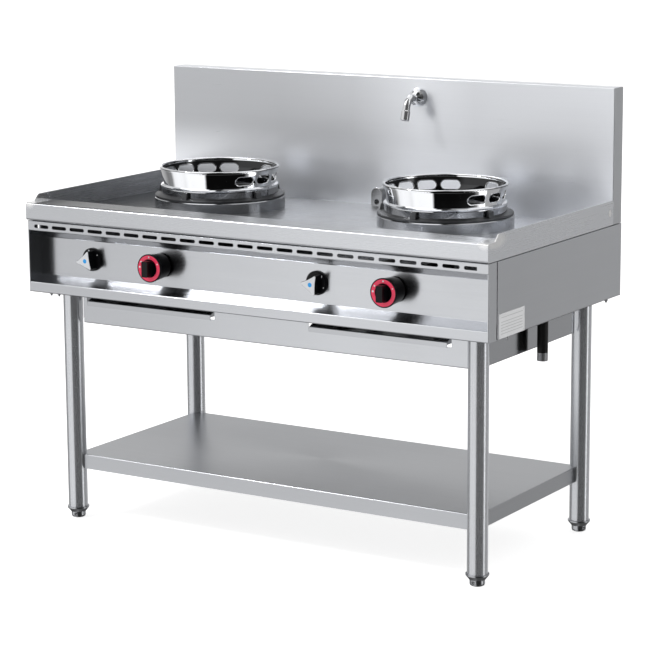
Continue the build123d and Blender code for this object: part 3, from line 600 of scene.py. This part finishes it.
def addKnobMarks(side):
    forward = (0, -1, 0)
    dots = []
    for angle, radius in knobs["gasMarks"]:
        turn = radians(angle)
        x = knobs["gas"][side] + knobs["dialMiddle"] * cos(turn)
        z = knobs["gasLevel"] + knobs["dialMiddle"] * sin(turn)
        dots.append(dot(radius, knobs["gasMarkHeight"], facing(at(x, knobs["dialFront"], z), forward)))
    addPiece(f"dialMarks_{side}", *together(*dots), whitePlastic, f"gas_knob_{side}", "white_plastic")
    x, z = knobs["water"][side], knobs["waterLevel"]
    middle = facing(at(x, knobs["capFront"], z), forward)
    mark = dot(knobs["blueDot"], knobs["waterMarkHeight"], middle)
    addPiece(f"coldMark_{side}", *mark, bluePrint, f"water_knob_{side}", "white_plastic")
    marks = []
    reach = knobs["skirtMarkReach"]
    for back, radius in knobs["skirtMarks"]:
        turn = radians(knobs["skirtMark"][side] - back)
        place = at(x + reach * cos(turn), knobs["skirtFront"], z + reach * sin(turn))
        marks.append(dot(radius, knobs["waterMarkHeight"], facing(place, forward)))
    addPiece(f"skirtMarks_{side}", *together(*marks), whitePlastic, f"water_knob_{side}", "white_plastic")


for side, sign in (("left", -1), ("right", 1)):
    addHoleLips(side, sign)
    addKnobMarks(side)
print("ring lips and knob marks made")

rating = {
    "middle": (674.5, 122, 646.5),
    "size": (130, 59),
    "thickness": 0.4,
    "sunk": 0.35,  # where the rivets' heads start, from the panel
    "corner": 2,
    "bevel": 0.15,
    "rivets": (60, 24.5),  # across and up from the middle
    "rivetRadius": 1.5,
    "rivetHeight": 0.14,
    "rows": [20, 9, 2, -5, -12, -19],  # heights of the ruled lines, from the middle
    "rowThickness": (0.0004, 0.0008),  # metres, as the next
    "rowEnds": (0.054, 0.055),
    "rowShade": 0.55,
}


def ratingFinish():
    made = Finish("ratingPlate", Metallic=0.2)
    middle = at(*rating["middle"])
    y = made.part(made.place, "y") - middle.y
    z = made.part(made.place, "z") - middle.z
    ruled = None
    for row in rating["rows"]:
        line = 1 - made.step(abs(z - row / 1000), *rating["rowThickness"])
        ruled = line if ruled is None else ruled + line
    inside = 1 - made.step(abs(y), *rating["rowEnds"])
    paper = made.noise(made.place, 90, 2, 0.5)
    pale = made.mixed(paper, grey(0.68, 0.01), grey(0.76, 0.01))
    made.set("Base Color", made.mixed(ruled * inside * rating["rowShade"], pale, grey(0.12)))
    made.set("Roughness", 0.5 + (paper - 0.5) * 0.1)
    return made.material


def addRatingPlate():
    outward = facing(at(*rating["middle"]), (1, 0, 0))
    sheet = plate(*rating["size"], rating["thickness"], rating["corner"], rating["bevel"], outward)
    addPiece("ratingPlate", *sheet, ratingFinish(), "range_frame", "brushed_sheet")
    rivets = []
    x, y, z = rating["middle"]
    for across in (-1, 1):
        for up in (-1, 1):
            place = at(x + rating["sunk"], y + across * rating["rivets"][0], z + up * rating["rivets"][1])
            rivets.append(dot(rating["rivetRadius"], rating["rivetHeight"], facing(place, (1, 0, 0))))
    addPiece("ratingRivets", *together(*rivets), zinc, "range_frame", "spindle_steel")


screws = {
    "places": [(-618, 25), (-593, 25), (667, 112), (667, 652)],
    "level": 616,  # underside of the body
    # radius and depth below it, from the tip
    "profile": [(0, 9), (2, 9), (2.6, 8.2), (2.6, 4.6), (4, 4.6), (4.7, 3.8), (4.7, 0), (0, 0)],
}


def addScrews():
    heads = []
    for x, y in screws["places"]:
        down = facing(at(x, y, screws["level"]), (0, 0, -1), (0, 1, 0))
        heads.append(turned(screws["profile"], down))
    addPiece("bodyScrews", *together(*heads), zinc, "range_frame", "spindle_steel")


thread = {
    "axis": (630, 372),
    "from": 505.2,
    "to": 524.2,
    "pitch": 1.81,
    "radius": 13.15,
    "ridge": 0.55,
    "steps": 30,  # in one turn
}


def addThread():
    steps = thread["steps"]
    turns = (thread["to"] - thread["from"]) / thread["pitch"]
    path, outward = [], []
    for step in range(int(turns * steps) + 1):
        angle = 2 * pi * step / steps
        out = Vector((cos(angle), sin(angle), 0))
        outward.append(out)
        level = thread["from"] + thread["pitch"] * step / steps
        path.append(at(*thread["axis"], level) + out * thread["radius"] / 1000)
    ridge = wire(path, outward, thread["ridge"], sides=6, closed=False)
    addPiece("inletThread", *ridge, zinc, "range_frame", "black_pipe")


footHole = {
    "feet": {  # place of each foot and the angle that its hole looks to
        "front_left": (-602, 94, -77),
        "front_right": (602, 94, -95),
        "rear_left": (-602, 648, -60),
        "rear_right": (602, 648, -20),
    },
    "level": 9.5,
    "footRadius": 19,
    "radius": 4.6,
    "rim": 0.7,
    "proud": 0.1,  # how far the dark disc, painted shade in the hole, stands before the foot
    "steps": 28,
}


def addFootHoles():
    steps = footHole["steps"]
    for name, (x, y, angle) in footHole["feet"].items():
        out = Vector((cos(radians(angle)), sin(radians(angle)), 0))
        sideways = Vector((-out.y, out.x, 0))
        path, outward = [], []
        for step in range(steps):
            turn = 2 * pi * step / steps
            across, up = footHole["radius"] * cos(turn), footHole["radius"] * sin(turn)
            spot = out * sqrt(footHole["footRadius"] ** 2 - across ** 2) + sideways * across
            path.append(at(x, y, footHole["level"] + up) + spot / 1000)
            outward.append(spot.normalized())
        rim = wire(path, outward, footHole["rim"])
        addPiece(f"footHoleRim_{name}", *rim, turnedSteel, f"foot_{name}", "foot_steel")
        # a dark disc over the hole's mouth is painted shade for its dark inside
        proud = footHole["proud"]
        middle = at(x, y, footHole["level"]) + out * (footHole["footRadius"] + proud) / 1000
        fan = [middle] + [point + direction * proud / 1000 for point, direction in zip(path, outward)]
        faces = [(0, k + 1, (k + 1) % steps + 1) for k in range(steps)]
        addPiece(f"footHole_{name}", fan, faces, sealRubberAndHoleShade, f"foot_{name}", "foot_steel")


aerator = {
    "end": (110, 596, 1045),
    "lean": (0, 15, 55),  # from the mouth back up the tube
    "depth": 2,
    "profile": [(0, 0.6), (4.62, 0.5), (5.04, 0), (6.72, 0), (8.4, 1.2), (8.4, -2), (0, -2)],
}


def addAerator():
    up = Vector(aerator["lean"]).normalized()
    deep = at(*aerator["end"]) + up * aerator["depth"] / 1000
    mouth = turned(aerator["profile"], facing(deep, -up), 32)
    addPiece("aerator", *mouth, zinc, "range_frame", "bright_plate")


addRatingPlate()
addScrews()
addThread()
addFootHoles()
addAerator()
print("rating plate, screws, thread, foot holes and aerator made")

studio = {
    "cameraPlace": (3.2559, -5.19931, 1.74937),
    "yaw": 32.0,
    "pitch": -11.145,
    "roll": -0.372,
    "focalPixels": 2422.364,
    "imagePixels": 645,
    "floorSize": 400,
    "floorTone": 0.6,
    "floorGlow": 0.82,
    "ringBlur": 0.03,  # softness of the joint between two rings of wall
}


def addCamera():
    yaw, pitch, roll = (radians(studio[key]) for key in ("yaw", "pitch", "roll"))
    ahead = Vector((-sin(yaw) * cos(pitch), cos(yaw) * cos(pitch), sin(pitch)))
    level = Vector((cos(yaw), sin(yaw), 0))
    upright = level.cross(ahead)
    right = cos(roll) * level + sin(roll) * upright
    up = cos(roll) * upright - sin(roll) * level
    data = bpy.data.cameras.new("photoCamera")
    data.sensor_width = 36
    data.lens = studio["focalPixels"] * data.sensor_width / studio["imagePixels"]
    camera = bpy.data.objects.new("photoCamera", data)
    turn = Matrix((right, up, -ahead)).transposed().to_4x4()
    camera.matrix_world = Matrix.Translation(studio["cameraPlace"]) @ turn
    bpy.context.scene.collection.objects.link(camera)
    bpy.context.scene.camera = camera


def addFloor():
    made = Finish("paleFloor", Roughness=0.9, Metallic=0.0, Emission_Strength=studio["floorGlow"])
    speckle = made.noise(made.place, 3, 2)
    tone = studio["floorTone"]
    made.set("Base Color", made.mixed(speckle, grey(tone), grey(tone * 1.01)))
    made.set("Emission Color", grey(1))
    size = studio["floorSize"]
    corners = [(-size, -size, 0), (size, -size, 0), (size, size, 0), (-size, size, 0)]
    mesh = bpy.data.meshes.new("floor")
    mesh.from_pydata(corners, [], [(0, 1, 2, 3)])
    mesh.materials.append(made.material)
    floor = bpy.data.objects.new("floor", mesh)
    floor.visible_glossy = False  # the metal mirrors the studio walls, not the floor
    bpy.context.scene.collection.objects.link(floor)


# brightness of the studio walls by compass angle in degrees from +X, in rings from low to high;
# each ring begins at the sine of its lower edge
walls = [
    (
        -1,
        [
            (-180, 0.1),
            (-150, 0.12),
            (-146, 0.6),
            (-86, 0.65),
            (-82, 0.02),
            (-6, 0.02),
            (2, 0.12),
            (180, 0.1),
        ],
    ),
    (
        -0.36,
        [
            (-180, 0.2),
            (-166, 0.25),
            (-158, 0.95),
            (-146, 1.05),
            (-135, 1.0),
            (-128, 0.85),
            (-119, 1.1),
            (-110, 1.0),
            (-86, 1.0),
            (-82, 0.03),
            (-10, 0.04),
            (7, 0.28),
            (9, 2.0),
            (20, 2.0),
            (22, 0.38),
            (45, 0.4),
            (62, 0.41),
            (76, 0.6),
            (122, 0.62),
            (140, 0.5),
            (165, 0.4),
            (180, 0.2),
        ],
    ),
    (
        0.03,
        [
            (-180, 0.5),
            (-160, 0.9),
            (-146, 1.1),
            (-86, 1.1),
            (-82, 0.003),
            (-6, 0.003),
            (2, 0.35),
            (5, 2.2),
            (16, 2.2),
            (19, 0.35),
            (62, 0.4),
            (80, 1.3),
            (140, 1.3),
            (180, 0.5),
        ],
    ),
    (
        0.16,
        [
            (-180, 0.7),
            (-130, 0.75),
            (-100, 0.75),
            (-86, 0.1),
            (-6, 0.1),
            (2, 0.25),
            (5, 1.6),
            (16, 1.6),
            (19, 0.25),
            (60, 0.35),
            (90, 0.5),
            (122, 0.5),
            (170, 0.7),
            (180, 0.7),
        ],
    ),
    (
        0.6,
        [
            (-180, 0.04),
            (-166, 0.04),
            (-158, 1.8),
            (-95, 1.7),
            (-82, 0.03),
            (-50, 0.03),
            (-42, 0.3),
            (-6, 0.3),
            (4, 0.9),
            (140, 0.9),
            (160, 1.2),
            (168, 0.04),
            (180, 0.04),
        ],
    ),
]


def addWorld():
    world = bpy.data.worlds.new("studio")
    world.use_nodes = True
    bpy.context.scene.world = world
    graph = Graph(world.node_tree)
    world.node_tree.nodes.clear()
    direction = graph.node("ShaderNodeTexCoord", output="Generated")
    x, y, z = (graph.part(direction, axis) for axis in "xyz")
    angle = graph.node("ShaderNodeMath", {"operation": "ARCTAN2"}, {0: y, 1: x}) / (2 * pi) + 0.5
    lit = None
    blur = studio["ringBlur"]
    for low, ring in walls:
        stops = [((degrees + 180) / 360, level) for degrees, level in ring]
        wall = graph.node("ShaderNodeValToRGB", {"stops": stops}, {0: angle})
        lit = wall if lit is None else graph.mixed(graph.step(z, low - blur, low + blur), lit, wall)
    seen = graph.node("ShaderNodeLightPath", output="Is Camera Ray")
    shown = graph.mixed(seen, lit, grey(1.0))
    background = graph.node("ShaderNodeBackground", {}, {"Color": shown, "Strength": 1.0})
    graph.node("ShaderNodeOutputWorld", {}, {"Surface": background})


lights = {
    "keyLight": {
        "place": (-2.5, -2.5, 3.6),
        "target": (0, 0.2, 0.9),
        "size": (0.5, 0.5),
        "watts": 50,
        "mirrored": True,
    },
    "fillLight": {
        "place": (3.5, -2.5, 4),
        "target": (0, 0, 0.6),
        "size": (3, 3),
        "watts": 15,
        "mirrored": False,  # polished metal doesn't show it
    },
}


def addLight(name, place, target, size, watts, mirrored):
    data = bpy.data.lights.new(name, "AREA")
    data.shape = "RECTANGLE"
    data.size, data.size_y = size
    data.energy = watts
    light = bpy.data.objects.new(name, data)
    light.location = place
    light.rotation_mode = "QUATERNION"
    light.rotation_quaternion = (Vector(target) - Vector(place)).to_track_quat("-Z", "Y")
    light.visible_glossy = mirrored
    bpy.context.scene.collection.objects.link(light)


addCamera()
addFloor()
addWorld()
for name, light in lights.items():
    addLight(name, **light)
bpy.context.scene.view_settings.view_transform = "Standard"
print("studio set")
